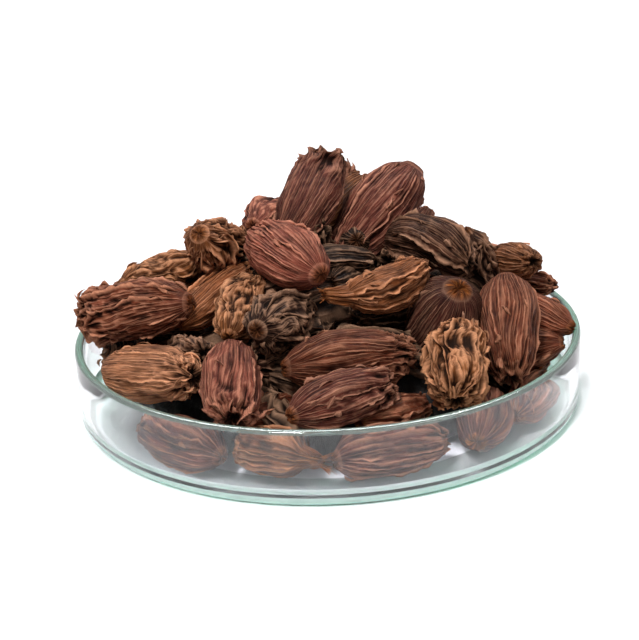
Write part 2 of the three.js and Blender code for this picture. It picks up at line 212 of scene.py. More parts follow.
def lay_by_rule(placed):
    """Drops pods one by one on what is laid already, each at the lowest of the places drawn for it."""
    random = RandomSource(RULE["seed"])
    stem, tip = (np.array([p[k] for p in placed], float) for k in ("stem", "tip"))
    at, radius = beads_of(stem, tip, np.array([p["width"] for p in placed], float),
                          np.array([p.get("bend", 0) for p in placed], float))
    laid, laid_radius = at.reshape(-1, 3), radius.ravel()
    core_r, core_z = np.array(CORE_OUTLINE, float).T
    pods, size = [], 1.0
    while len(pods) < RULE["most"] and size > RULE["smallest"]:
        n = RULE["draws"]
        u = random.draw(7 * n).reshape(n, 7)
        radial = RULE["within"] * np.sqrt(u[:, 0])
        bearing, heading = 2 * np.pi * u[:, 1], 2 * np.pi * u[:, 2]
        length = size * (RULE["length"][0] + (RULE["length"][1] - RULE["length"][0]) * u[:, 3])
        width = size * (RULE["width"][0] + (RULE["width"][1] - RULE["width"][0]) * u[:, 4])
        lean = RULE["wobble"] * (2 * u[:, 5] - 1)
        kind = np.floor(u[:, 6] * len(RULE["kinds"])).astype(int)
        downhill = math.atan(MOUND["fall"]) * np.cos(heading - bearing)
        pitch = lean - downhill * np.minimum(1, radial / RULE["level_within"])
        middle = np.stack([radial * np.cos(bearing), radial * np.sin(bearing), 0 * radial], -1)
        half = np.stack([np.cos(pitch) * np.cos(heading), np.cos(pitch) * np.sin(heading), np.sin(pitch)], -1)
        half = half * length[:, None] / 2
        at, radius = beads_of(middle - half, middle + half, width, 0 * width)
        out = np.hypot(at[..., 0], at[..., 1])
        core = np.where(out <= core_r[-1], np.interp(out, core_r, core_z), 0)
        height = (np.maximum(FLOOR_Z, core - RULE["sink"]) + radius - at[..., 2]).max(axis=1)
        reach = radius[..., None] + laid_radius - RULE["press"]
        across = np.hypot(at[..., 0, None] - laid[:, 0], at[..., 1, None] - laid[:, 1])
        touch = laid[:, 2] + np.sqrt(np.maximum(reach ** 2 - across ** 2, 0)) - at[..., 2, None]
        height = np.maximum(height, np.where(across < reach, touch, -np.inf).max(axis=(1, 2)))
        z = at[..., 2] + height[:, None]
        lip = np.hypot(out - (DISH["radius"] - DISH["wall"] / 2), z - DISH["height"] + DISH["wall"] / 2)
        off_lip = lip > radius + DISH["wall"] / 2 + FIT_GAP
        clear = off_lip & ((z > DISH["height"]) | (out + radius < INSIDE_RADIUS))
        proud = np.where(at[..., 1] > RULE["front_edge"], RULE["behind"], RULE["before"])
        under = z + radius < MOUND["height"] - MOUND["fall"] * out + proud
        sky = RULE["skyline"]
        seen_at = z * math.cos(sky["tilt"]) + at[..., 1] * math.sin(sky["tilt"])
        below = seen_at + radius < sky["height"] - sky["fall"] * np.abs(at[..., 0])
        height = np.where((clear & under & below).all(axis=1), height, np.inf)
        i = int(np.argmin(height))
        if not np.isfinite(height[i]):
            size *= RULE["smaller"]
            continue
        lift = np.array([0, 0, height[i]])
        ends = dict(stem=middle[i] - half[i] + lift, tip=middle[i] + half[i] + lift)
        pods.append(dict(kind=RULE["kinds"][kind[i]], width=width[i], **ends))
        laid = np.concatenate([laid, at[i] + lift])
        laid_radius = np.concatenate([laid_radius, radius[i]])
    return pods


def under_layer():
    """Pods painted nearly black as shade that fill the space between the core and the outer pods, round the
    cone at one depth below it.
    """
    pods = []
    for i in range(UNDER["count"]):
        radial = UNDER["within"] * math.sqrt((i + 0.5) / UNDER["count"])
        bearing = i * GOLDEN_ANGLE
        heading = bearing + 1.2 + 1.9 * i
        pitch = -0.5 * math.cos(heading - bearing)
        depth = UNDER["behind"] if math.sin(bearing) > 0.1 else UNDER["before"]
        z = max(MOUND["height"] - MOUND["fall"] * radial - depth, UNDER["lowest"])
        middle = np.array([radial * math.cos(bearing), radial * math.sin(bearing), z])
        level = math.cos(pitch)
        towards = np.array([level * math.cos(heading), level * math.sin(heading), math.sin(pitch)])
        half = UNDER["length"] / 2 * towards
        pods.append(dict(kind=("ribbed", "crumpled", "winged")[i % 3], tone="deep", stem=middle - half,
                         tip=middle + half, width=UNDER["width"]))
    return pods


# ---- noise


def hash01(ix, iy, iz, seed):
    """A fixed random number from 0 to 1 for each cell of a grid."""
    n = (ix * 374761393 + iy * 668265263 + iz * 1440662683 + seed * 974711) & 0xFFFFFFFF
    n = ((n ^ (n >> 13)) * 1274126177) & 0xFFFFFFFF
    n = ((n ^ (n >> 16)) * 2246822519) & 0xFFFFFFFF
    return ((n ^ (n >> 15)) & 0xFFFF) / 65535.0


def noise(x, y, z, seed):
    """Smooth value noise from -1 to 1."""
    x, y, z = np.broadcast_arrays(x, y, z)
    cells = [np.floor(a).astype(np.int64) for a in (x, y, z)]
    parts = [a - c for a, c in zip((x, y, z), cells)]
    fade = [f * f * (3 - 2 * f) for f in parts]
    total = np.zeros(x.shape)
    for corner in range(8):
        steps = [corner & 1, corner >> 1 & 1, corner >> 2 & 1]
        weight = np.prod([f if s else 1 - f for f, s in zip(fade, steps)], axis=0)
        total += weight * hash01(cells[0] + steps[0], cells[1] + steps[1], cells[2] + steps[2], seed)
    return 2 * total - 1


def creases(x, y, z, seed):
    """Noise with sharp crests: 1 on a crest line, down to -1 between."""
    return 1 - 2.2 * np.abs(noise(x, y, z, seed)) ** 0.75


def smooth(a, b, x):
    """Rises from 0 where x is a to 1 where it is b, without a kink."""
    t = np.clip((x - a) / (b - a), 0, 1)
    return t * t * (3 - 2 * t)


# ---- one pod

# The least radius, in mm, by which a sideways shift is turned into an angle.
LEAST_RADIUS = 0.8
# Each kind of pod. ribs: height of broad ribs; lines: height of the fine lines along the husk; wings: how
# many thin frilled wings; wing: their height; crumple: height of the folds; dent: broad dents as a share of
# the radius; warp: how far the lines stray sideways; mouth and depth: radius and depth of the stem's mouth;
# star: depth of the folds round it, as a share of the radius; lined: how strongly the material draws its
# lines; edge: how pale sharp crests are made, as wear and as painted highlight; orange: how orange the stem's
# end is.
PLAIN_STEM = dict(mouth=1.7, depth=0.7, star=0.18)
KINDS = {
    "ribbed": dict(ribs=0.62, lines=0.16, wings=4, wing=(0.4, 0.9), crumple=0.30, dent=0.06, warp=0.20,
                   **PLAIN_STEM, lined=1.0, edge=0.35, orange=0.5),
    "winged": dict(ribs=0.45, lines=0.14, wings=9, wing=(0.7, 1.5), crumple=0.40, dent=0.06, warp=0.22,
                   **PLAIN_STEM, lined=0.9, edge=0.45, orange=0.5),
    "crumpled": dict(ribs=0.50, lines=0.16, wings=12, wing=(1.2, 2.4), crumple=1.6, dent=0.12, warp=0.42,
                     **PLAIN_STEM, lined=0.55, edge=0.9, orange=0.3),
    "puckered": dict(ribs=0.45, lines=0.16, wings=1, wing=(0.5, 0.8), crumple=0.15, dent=0.04, warp=0.18,
                     mouth=2.2, depth=1.3, star=0.30, lined=0.9, edge=0.3, orange=1.0),
}
USUAL_CRUSH, USUAL_BLUNT = 0.35, 0.15
# Across a wing: offset in mm, share of the wing's height, and how far the point follows the wing's sway.
WING_SECTION = ((-0.34, 0.0, 0.4), (-0.15, 0.55, 0.85), (0, 1, 1), (0.15, 0.55, 0.85), (0.34, 0.0, 0.4))
# How fine a pod's grid is: mm between rows and between lines, and how many torn flakes each kind carries.
FINE = dict(step=0.56, spacing=1.05, flakes=dict(ribbed=6, winged=14, crumpled=26, puckered=3))
MEDIUM = dict(step=0.80, spacing=1.6, flakes=dict(ribbed=4, winged=9, crumpled=16, puckered=2))
COARSE = dict(step=1.3, spacing=2.6, flakes=dict(ribbed=0, winged=3, crumpled=5, puckered=0))


def meridian(pod, kind, rng, length, rows):
    """Height and radius of each row, from inside the stem's mouth, over the body, into the tip.

    Also gives the pod's half width and how many rows each end has.
    """
    half = pod["width"] / 2 - 0.3
    beak, blunt = pod.get("beak", 0), pod.get("blunt", USUAL_BLUNT)
    widest = 0.46 + rng.uniform(-0.06, 0.06)
    ends = max(4, rows // 11)
    t = 0.5 - 0.5 * np.cos(np.pi * (0.06 + 0.88 * np.linspace(0, 1, rows - 2 * ends)))
    t = 0.035 + 0.92 * (t - t[0]) / (t[-1] - t[0])
    stemward = np.sqrt(np.clip(1 - np.clip(1 - t / widest, 0, 1) ** 2.3, 0, 1))
    tipward = np.clip(1 - np.clip((t - widest) / (1 - widest), 0, 1) ** 2.2, 0, 1) ** (0.58 - 0.36 * blunt)
    body_z, body_r = beak + (length - beak) * t, half * np.minimum(stemward, tipward)
    k = np.linspace(0, 1, ends, endpoint=False)
    if beak:
        stem_z = np.interp(k, (0, 0.3, 1), (1.2, 0, beak))
        stem_r = np.interp(k, (0, 0.3, 1), (0.3, 2.0, 2.4))
    else:
        mouth = min(kind["mouth"], 0.9 * body_r[0])
        stem_z = np.interp(k, (0, 0.6, 1), (kind["depth"], 0, 0.3))
        stem_r = np.interp(k, (0, 0.6, 1), (0.25, mouth, body_r[0]))
    k = np.linspace(0, 1, ends + 1)[1:]
    frill_r = min(2.4 + 0.45 * blunt * half, 0.9 * body_r[-1])
    tip_z = np.interp(k, (0, 0.5, 1), (body_z[-1], length, length - 2.0 - 2.5 * blunt))
    tip_r = np.interp(k, (0, 0.5, 1), (body_r[-1], frill_r, 0.25))
    return np.concatenate([stem_z, body_z, tip_z]), np.concatenate([stem_r, body_r, tip_r]), half, ends


def blurred(field, passes):
    """A field over rows and columns, each pass averaged with its neighbours."""
    for _ in range(passes):
        field = (np.roll(field, 1, 1) + 2 * field + np.roll(field, -1, 1)) / 4
        padded = np.concatenate([field[:1], field, field[-1:]])
        field = (padded[:-2] + 2 * field + padded[2:]) / 4
    return field


def husk_lines(pod, kind, rng, seed, along, s, r, lines):
    """The grid's columns: each line along the husk and the valley after it, with five columns for a wing.

    Gives every row and column's angle, height over the husk and paleness, partly wear and partly painted
    highlight on the wings' edges, and each column's place among the lines. s, along and r are each row's
    share of the length, distance from the stem's end, and radius.
    """
    gap = 2 * np.pi / lines
    turn = rng.random()
    wings = set()
    for k in range(kind["wings"]):
        wings.add(int((k + turn + rng.uniform(-0.3, 0.3)) * lines / kind["wings"]) % lines)
    stand = smooth(0.04, 0.22, s) * (1 - 0.5 * smooth(0.92, 1.0, s))
    safe_r = np.maximum(r, LEAST_RADIUS)
    place = (np.arange(lines) + rng.uniform(-0.28, 0.28, lines)) * gap + rng.uniform(0, 2 * np.pi)
    power = kind["lines"] * rng.uniform(0.25, 1.5, lines) ** 1.3
    angle, rise, pale_and_highlight, line = [], [], [], []
    for i in range(lines):
        here, after = place[i], place[(i + 1) % lines] + (2 * np.pi if i == lines - 1 else 0)
        sway = 0.22 * gap * noise(along / 4.5, i * 7.3, 0.5, seed)
        if i in wings:
            tall = rng.uniform(*kind["wing"]) * min(1.2, 0.4 + pod["width"] / 25)
            frill = (0.75 + 0.6 * noise(along / 2.4, i * 5.1, 1.5, seed)
                     + 0.45 * noise(along / 1.1, i * 9.7, 2.5, seed))
            torn = 0.12 + 0.88 * smooth(-0.35, 0.0, noise(along / 8.0, i * 4.3, 3.5, seed))
            tall = tall * stand * torn * np.clip(frill, 0.15, 1.7)
            lean = rng.uniform(-0.6, 0.6) + 0.5 * noise(along / 3.5, i * 8.1, 6.5, seed)
            wave = (0.75 * noise(along / 2.2, i * 6.3, 7.5, seed)
                    + 0.35 * noise(along / 1.0, i * 3.3, 8.5, seed))
            push = np.clip((lean * tall + wave * torn * stand) / safe_r, -0.9 * gap, 0.9 * gap)
            for off, share, follow in WING_SECTION:
                angle.append(here + sway + follow * push + off / safe_r)
                rise.append(share * tall)
                pale_and_highlight.append(share ** 1.5 * smooth(0.1, 0.6, tall))
                line.append(i + off)
        else:
            fade = 0.35 + 0.65 * smooth(-0.5, 0.3, noise(along / 9.0, i * 2.9, 4.5, seed))
            angle.append(here + sway)
            rise.append(power[i] * fade)
            pale_and_highlight.append(0 * r)
            line.append(i)
        angle.append(0.5 * (here + after) + 0.5 * sway)
        rise.append(np.full(len(r), -0.35 * kind["lines"]))
        pale_and_highlight.append(0 * r)
        line.append(i + 0.5)
    angle, rise, pale_and_highlight = (np.array(a).T for a in (angle, rise, pale_and_highlight))
    return angle, rise, pale_and_highlight, np.array(line, float)


def stray(kind, rng, seed, angle, z, s):
    """Angles of lines that flow together and apart and turn a little along the pod, but never cross."""
    reach = 13 if kind["warp"] < 0.3 else 6
    sway = kind["warp"] * noise(np.cos(angle) * 1.1 + 5, np.sin(angle) * 1.1, z / reach, seed + 31)
    angle = angle + sway + rng.uniform(-0.3, 0.3) * s
    return np.maximum.accumulate(angle + 1e-4 * np.arange(angle.shape[1]), axis=1)


def husk_radius(kind, rng, seed, angle, z, s, r, half, crush, rise):
    """Radius of every row and column, with lobes, dents, broad ribs, folds and the lines' own rise."""
    ux, uy = np.cos(angle), np.sin(angle)
    body = body_share(s)
    lobe_angle = angle + rng.uniform(0, 2 * np.pi)
    lobes = 1 + 0.04 * np.cos(3 * lobe_angle) * smooth(0.05, 0.3, s) * (1 - smooth(0.8, 1, s))
    dents = kind["dent"] * (1.6 * noise(ux * 1.1 + 3, uy * 1.1, z / 11, seed + 11)
                            + 0.9 * noise(ux * 2.3, uy * 2.3 + 7, z / 6, seed + 12))
    ribs = kind["ribs"] * (noise(ux * half / 2.6, uy * half / 2.6, z / 16, seed + 13)
                           + 0.5 * noise(ux * half / 1.5, uy * half / 1.5, z / 10, seed + 23))
    bx, by, warp = ux * half / 5, uy * half / 5, 0.8 * noise(ux * 1.5, uy * 1.5, z / 9, seed + 14)
    folds = (0.55 * creases(bx * 1.9 + warp, by * 1.9 + warp, z / 7.0 + warp, seed + 15)
             + 0.42 * creases(bx * 3.6 - warp, by * 3.6, z / 3.6 + warp, seed + 16)
             + 0.20 * creases(bx * 7.0, by * 7.0 + warp, z / 1.8, seed + 24))
    calm = smooth(0.03, 0.14, s) * (1 - 0.5 * smooth(0.93, 1.0, s))
    return r * (lobes + dents * body) + ribs * body + 0.8 * crush * folds * body + rise * calm


def body_share(s):
    """1 over a pod's body, and 0 at its two ends."""
    return smooth(0.02, 0.14, s) * (1 - smooth(0.90, 0.99, s))


def husk_marks(kind, radius, pale_and_highlight, star, stem, tip, ends):
    """Marks: what stands above its surroundings is made pale, partly as wear and partly as painted highlight,
    and what lies below is painted dark as shade.
    """
    fine = radius - blurred(radius, 3)
    broad = radius - blurred(radius, 24)
    # painted highlight and wear: sharp crests and broadly raised parts are made pale
    wear_and_highlight = kind["edge"] * smooth(0.03, 0.20, fine) * smooth(-0.4, 0.1, broad)
    paleness_and_highlight = wear_and_highlight + 0.25 * smooth(0.2, 0.9, broad) + pale_and_highlight
    # painted shade: hollows, fine and broad, are darkened as if in shadow
    hollow_shade = 0.35 * smooth(0.0, 0.15, -fine) + 0.95 * smooth(0.05, 0.65, -broad)
    mouth = max(2, int(0.6 * ends))
    # painted shade in the stem's mouth, in the folds round it and in the tip's inturned end
    hollow_shade[:mouth] = np.maximum(0.3 * hollow_shade[:mouth], np.linspace(0.7, 0.0, mouth)[:, None])
    hollow_shade = np.maximum(hollow_shade * (1 - 0.6 * stem), 0.6 * stem * smooth(0.3, 0.9, -star))
    hollow_shade[-ends // 2:] = np.maximum(hollow_shade[-ends // 2:], 0.6)
    return np.clip(np.stack([paleness_and_highlight, hollow_shade, stem, tip], -1), 0, 1)


def pod_surface(pod, seed, detail):
    """One pod in its own frame (x across, y up, z along): points, marks (pale crest, partly wear and partly
    painted highlight; painted shade in hollows; stem; tip) and UVs.

    A UV counts the lines along the husk, whole numbers on their crests, and the millimetres from the stem.
    """
    rng = np.random.default_rng(seed)
    kind = dict(KINDS[pod["kind"]], **pod.get("look", {}))
    length = float(np.linalg.norm(np.subtract(pod["tip"], pod["stem"])))
    z, r, half, ends = meridian(pod, kind, rng, length, int(round(length / detail["step"])) + 4)
    along = np.concatenate([[0], np.cumsum(np.hypot(np.diff(z), np.diff(r)))])
    lines = max(12, int(round(2 * np.pi * half * 0.93 / detail["spacing"])))
    angle, rise, pale_and_highlight, line = husk_lines(pod, kind, rng, seed, along, z / length, r, lines)
    s, z, r, along = (z / length)[:, None], z[:, None], r[:, None], along[:, None]
    angle = stray(kind, rng, seed, angle, z, s)
    ux, uy = np.cos(angle), np.sin(angle)
    tip_crush = pod.get("crush", USUAL_CRUSH)
    crush = kind["crumple"] + 1.6 * tip_crush * smooth(0.62, 0.92, s)
    radius = husk_radius(kind, rng, seed, angle, z, s, r, half, crush, rise)

    # the ends: folds round the stem's mouth, and a crumpled, frayed tip
    star = np.cos(int(rng.integers(7, 10)) * angle + 2.5 * noise(ux * 2, uy * 2, 0.0, seed + 18))
    beak, edge = pod.get("beak", 0), along[int(0.6 * ends)]
    past_stem = smooth(0.6 * beak, 1.5 * beak, z) if beak else smooth(edge + 0.2, edge + 2.2, along)
    stem = 1 - past_stem + 0 * angle
    radius = radius * (1 + kind["star"] * star * stem)
    tip = smooth(0.84, 0.97, s) + 0 * angle
    frayed = noise(ux * 2.6, uy * 2.6, z / 1.6, seed + 19) + 0.7 * noise(ux * 5, uy * 5, z / 0.9, seed + 20)
    radius = np.maximum(radius + (0.7 + 0.6 * tip_crush) * tip * frayed, 0.12)
    height = z + tip * (1.7 * noise(ux * 2.4, uy * 2.4, 3.3, seed + 21) - 1.0) + 0.45 * stem * star
    body = body_share(s)
    height = height + 0.7 * body * crush * noise(ux * 2.5, uy * 2.5, z / 4, seed + 22)
    squeeze = noise(ux * 3, uy * 3, z / 3.2, seed + 25)
    angle = angle + 0.35 * body * crush / np.maximum(r, LEAST_RADIUS) * squeeze
    points = np.stack([radius * np.cos(angle), 0.92 * radius * np.sin(angle), height], -1)
    marks = husk_marks(kind, radius, pale_and_highlight, star, stem, tip, ends)
    uv = np.stack(np.broadcast_arrays(line, along), -1)
    return points, marks, uv, lines, length


# ---- meshes


def grid_faces(rows, columns):
    """Quads of a grid that closes on itself sideways, and which of them lie across its seam."""
    i, j = np.meshgrid(np.arange(rows - 1), np.arange(columns), indexing="ij")
    k = (j + 1) % columns
    quads = np.stack([i * columns + j, i * columns + k, (i + 1) * columns + k, (i + 1) * columns + j], -1)
    return quads.reshape(-1, 4), (k == 0).ravel()


def strip(path, across, outward, width, thickness):
    """A closed thin strip along a path: a flattened four-sided tube, with its widths row by row."""
    beside, over = across * (width / 2)[:, None], outward * thickness
    return np.stack([path + side for side in (beside, over, -beside, -over)], 1)


def flakes(points, rng, count, size, first=0.16, last=0.93):
    """Torn bits of membrane that curl off the husk, between two shares of its rows."""
    rows, columns = points.shape[:2]
    t = np.linspace(0, 1, 7)[:, None]
    made = []
    for _ in range(count):
        i, j = rng.integers(int(first * rows), int(last * rows)), rng.integers(columns)
        at, k = points[i, j], (j + 3) % columns
        along = points[min(i + 2, rows - 1), j] - points[i - 2, j]
        along = along / max(1e-6, np.linalg.norm(along))
        normal = np.cross(points[i, k] - points[i, j - 3], along)
        normal = normal / max(1e-6, np.linalg.norm(normal))
        side = np.cross(normal, along)
        turn, lift = rng.normal(0, 0.45), rng.uniform(0.25, 0.9) * size
        ahead = math.cos(turn) * along + math.sin(turn) * side
        beside = np.cross(normal, ahead)
        length, curl = rng.uniform(2.2, 5.0) * size, rng.normal(0, 0.8)
        path = at - 0.15 * normal + ahead * length * (t - 0.5) + beside * curl * (t - 0.5) ** 2 * 2
        path = path + normal * lift * np.sin(np.pi * t) ** 0.7
        twist = rng.uniform(-1.3, 1.3) + rng.normal(0, 0.8) * t
        across = np.cos(twist) * beside + np.sin(twist) * normal
        outward = -np.sin(twist) * beside + np.cos(twist) * normal
        width = rng.uniform(0.7, 1.7) * size * (0.25 + np.sin(np.pi * t[:, 0]) ** 0.6)
        made.append(strip(path, across, outward, width * rng.uniform(0.7, 1.2, len(t)), 0.09))
    return made


def bristles(rng, count, reach):
    """Fibres that stick out of the stem's end, in the pod's own frame."""
    t = np.linspace(0, 1, 6)[:, None]
    made = []
    for _ in range(count):
        a, spread, length = rng.uniform(0, 2 * np.pi), rng.uniform(0.2, 1.0), rng.uniform(0.5, 1.0) * reach
        out = np.array([math.cos(a), math.sin(a), 0])
        path = out * (1.1 + spread * length * t ** 1.3 * 0.5) + np.array([0, 0, -1]) * (length * t - 1.2)
        path = path + np.cross(out, [0, 0, 1]) * rng.normal(0, 0.5) * t ** 2
        across = np.cross(out, [0, 0, 1]) + 0 * t
        made.append(strip(path, across, out + 0 * t, 0.26 * (1 - 0.7 * t[:, 0]), 0.1))
    return made


class Husks:
    """Gathers pods of one kind into one mesh."""

    def __init__(self):
        self.points, self.marks, self.tone = [], [], []
        self.quads, self.caps, self.quad_uv, self.cap_uv = [], [], [], []
        self.total = 0

    def add_grid(self, points, marks, tone, uv, turn=0):
        """Adds a tube of rows and columns that closes on itself and is capped at both ends."""
        rows, columns = points.shape[:2]
        quads, seam = grid_faces(rows, columns)
        quad_uv = uv.reshape(-1, 2)[quads]
        quad_uv[seam, 1, 0] += turn
        quad_uv[seam, 2, 0] += turn
        caps = np.array([np.arange(columns)[::-1], (rows - 1) * columns + np.arange(columns)])
        self.points.append(points.reshape(-1, 3))
        self.marks.append(marks.reshape(-1, 4))
        self.tone.append(np.tile(tone, (rows * columns, 1)))
        self.quads.append(quads + self.total)
        self.quad_uv.append(quad_uv.reshape(-1, 2))
        self.caps += [cap + self.total for cap in caps]
        self.cap_uv += [uv.reshape(-1, 2)[cap] for cap in caps]
        self.total += rows * columns

    def add(self, pod, seed, detail):
        """Adds a pod with the torn bits and fibres that it carries."""
        points, marks, uv, lines, length = pod_surface(pod, seed, detail)
        stem, tip = np.array(pod["stem"], float), np.array(pod["tip"], float)
        across, up, axis = pod_axes(stem[None], tip[None])

        def placed(local):
            t = np.clip(local[..., 2:3] / length, 0, 1)
            y = local[..., 1:2] + 4 * pod.get("bend", 0) * t * (1 - t)
            return stem + across[0] * local[..., 0:1] + up[0] * y + axis[0] * local[..., 2:3]

        def add_loose(grids, paleness_and_highlight, stem_mark, tip_mark, uv_shift):
            for grid in grids:
                mark = (rng.uniform(*paleness_and_highlight), 0, stem_mark, tip_mark)
                mark = np.broadcast_to(mark, grid.shape[:2] + (4,))
                self.add_grid(placed(grid), mark, tone, grid[..., :2] + uv_shift)

        kind = KINDS[pod["kind"]]
        tone = tuple(pod.get("shade", 1) * c for c in TONES[pod["tone"]]) + (kind["lined"],)
        # Pods painted dark as shade keep little orange at their stem ends.
        marks[..., 2] *= 0.2 if pod["tone"] == "deep" else kind["orange"]
        self.add_grid(placed(points), marks, tone, uv + [37.0 * (seed % 97), 11.0 * (seed % 89)], lines)
        rng = np.random.default_rng(seed + 5)
        loose = flakes(points, rng, pod.get("flakes", detail["flakes"][pod["kind"]]), 1.0)
        loose += flakes(points, rng, pod.get("tuft", 0), 1.2, 0.78, 0.94)
        add_loose(loose, (0.55, 1.0), 0, 0.2, [17.0, 29.0])
        fibres = bristles(rng, pod.get("bristles", 0), pod.get("reach", 0))
        add_loose(fibres, (0, 0.7), 0.9, 0, [7.0, 3.0])

    def build(self, name, material):
        """Makes one object of all the pods that were added."""
        quads = np.concatenate(self.quads)
        sizes = np.concatenate([np.full(len(quads), 4), [len(cap) for cap in self.caps]])
        mesh = bpy.data.meshes.new(name)
        points = keep_in_box(np.concatenate(self.points))
        mesh.vertices.add(len(points))
        mesh.vertices.foreach_set("co", (points * MM).ravel())
        corners = np.concatenate([quads.ravel(), *self.caps])
        mesh.loops.add(len(corners))
        mesh.loops.foreach_set("vertex_index", corners.astype(np.int32))
        mesh.polygons.add(len(sizes))
        mesh.polygons.foreach_set("loop_start", (np.cumsum(sizes) - sizes).astype(np.int32))
        mesh.polygons.foreach_set("loop_total", sizes.astype(np.int32))
        mesh.polygons.foreach_set("use_smooth", np.ones(len(sizes), bool))
        layer = mesh.uv_layers.new(name="husk")
        layer.data.foreach_set("uv", np.concatenate(self.quad_uv + self.cap_uv).astype(np.float32).ravel())
        for attribute, values in (("marks", self.marks), ("tone", self.tone)):
            data = mesh.color_attributes.new(name=attribute, type="FLOAT_COLOR", domain="POINT").data
            data.foreach_set("color", np.concatenate(values).astype(np.float32).ravel())
        mesh.materials.append(material)
        mesh.update(calc_edges=True)
        return placed_object(name, mesh)


def keep_in_box(points):
    """Holds points inside the solids' box."""
    low, high = (np.array(corner) / MM for corner in CAD_BOX)
    return np.clip(points, low + 0.05, high - 0.05)


def placed_object(name, data):
    obj = bpy.data.objects.new(name, data)
    bpy.context.scene.collection.objects.link(obj)
    return obj


def lathe(name, profile, segments, material, wobble=None):
    """A closed solid turned round Z from (radius, z) points that start and end on the axis."""
    profile = np.array(profile, float)
    angle = 2 * np.pi * np.arange(segments) / segments
    ring = profile[1:-1]
    points = np.stack([ring[:, :1] * np.cos(angle), ring[:, :1] * np.sin(angle), ring[:, 1:] + 0 * angle], -1)
    if wobble:
        points = wobble(points)
    flat = np.concatenate([points.reshape(-1, 3), [[0, 0, profile[0, 1]], [0, 0, profile[-1, 1]]]])
    quads, _ = grid_faces(len(ring), segments)
    step = np.roll(np.arange(segments), -1)
    last = (len(ring) - 1) * segments
    fans = [(len(flat) - 2, b, a) for a, b in zip(range(segments), step)]
    fans += [(len(flat) - 1, last + a, last + b) for a, b in zip(range(segments), step)]
    mesh = bpy.data.meshes.new(name)
    mesh.from_pydata([tuple(p) for p in flat * MM], [], [tuple(q) for q in quads.tolist()] + fans)
    mesh.polygons.foreach_set("use_smooth", np.ones(len(mesh.polygons), bool))
    mesh.materials.append(material)
    mesh.update()
    return placed_object(name, mesh)


# ---- materials


def srgb(*values):
    """A linear colour from 0 to 255 values."""
    return tuple(((v / 255 + 0.055) / 1.055) ** 2.4 if v > 10 else v / 3295 for v in values)


# The middle colour of each tone of husk.
TONES = {
    "purple": srgb(88, 42, 33),
    "plum": srgb(62, 28, 22),
    "rose": srgb(114, 58, 45),
    "red": srgb(100, 47, 29),
    "tan": srgb(110, 62, 33),
    "russet": srgb(112, 57, 38),
    "sand": srgb(134, 87, 60),
    "amber": srgb(132, 74, 40),
    "olive": srgb(112, 65, 33),
    "dark": srgb(50, 25, 16),
    # The last is painted shade: the near black of pods that lie in the heap's shadow.
    "deep": srgb(24, 12, 8),
}


class Nodes:
    """Short calls for building a material's nodes."""

    def __init__(self, name):
        self.material = bpy.data.materials.new(name)
        self.material.use_nodes = True
        self.tree = self.material.node_tree
        self.shader = self.tree.nodes["Principled BSDF"]

    def add(self, kind, inputs=(), **settings):
        node = self.tree.nodes.new("ShaderNode" + kind)
        for key, value in settings.items():
            setattr(node, key, value)
        for key, value in dict(inputs).items():
            self.put(node.inputs[key], value)
        return node

    def put(self, socket, value):
        if isinstance(value, bpy.types.NodeSocket):
            self.tree.links.new(value, socket)
        elif isinstance(value, tuple) and len(value) == 3 and socket.type == "RGBA":
            socket.default_value = (*value, 1)
        else:
            socket.default_value = value

    def math(self, operation, a, b=0.0, clamp=False):
        return self.add("Math", {0: a, 1: b}, operation=operation, use_clamp=clamp).outputs[0]

    def times(self, a, b, clamp=False):
        return self.math("MULTIPLY", a, b, clamp)

    def plus(self, a, b, clamp=False):
        return self.math("ADD", a, b, clamp)

    def mix(self, factor, a, b, blend="MIX"):
        return self.add("Mix", {0: factor, 6: a, 7: b}, data_type="RGBA", blend_type=blend).outputs[2]

    def noise(self, vector, scale, detail=2.0, roughness=0.5, distortion=0.0):
        stretched = self.add("Mapping", {"Vector": vector, "Scale": scale}).outputs[0]
        inputs = {"Vector": stretched, "Scale": 1.0, "Detail": detail, "Roughness": roughness}
        return self.add("TexNoise", {**inputs, "Distortion": distortion}).outputs["Fac"]

    def ramp(self, factor, low, high):
        return self.add("MapRange", {"Value": factor, "From Min": low, "From Max": high}).outputs[0]


